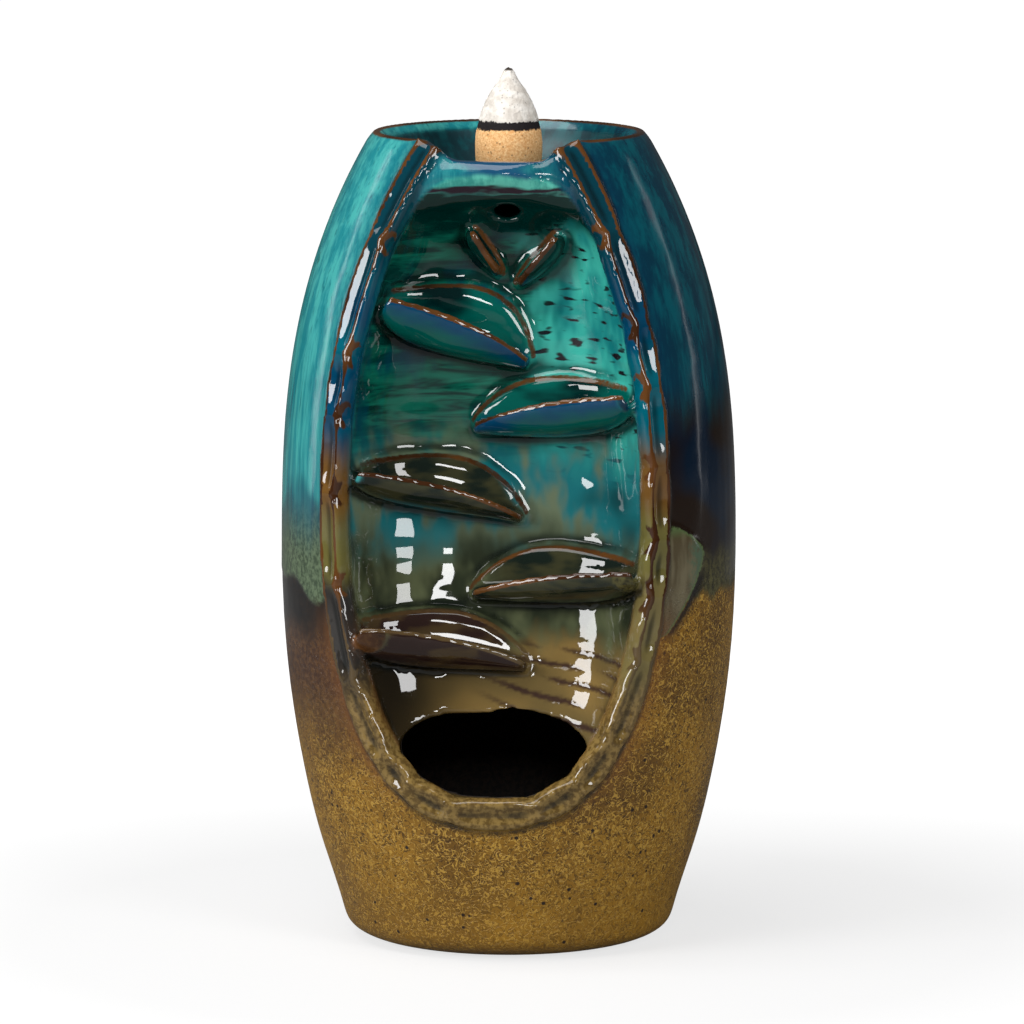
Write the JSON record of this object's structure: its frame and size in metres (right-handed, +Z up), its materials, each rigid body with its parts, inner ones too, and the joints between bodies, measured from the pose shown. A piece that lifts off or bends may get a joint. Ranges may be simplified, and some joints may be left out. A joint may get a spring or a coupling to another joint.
{
  "type": "backflow incense burner",
  "caption": "Barrel-shaped glazed ceramic backflow incense burner with a carved waterfall front, stepped leaf dishes, an open basin below and an incense cone resting in its top.",
  "frame": {"origin": "centre of the flat foot", "axes": "+Z up, the carved front faces -Y, +X to the right of the front"},
  "size_m": [0.0926, 0.0897, 0.1776],
  "materials": {
    "glaze": "glossy reactive glaze, teal and blue above, brown and black in the middle, satin mustard below",
    "incense": "matt pressed powder, with a black ember band and pale ash above it"
  },
  "bodies": {
    "root": {"burner": "glaze", "incense_cone": "incense"}
  },
  "joints": []
}
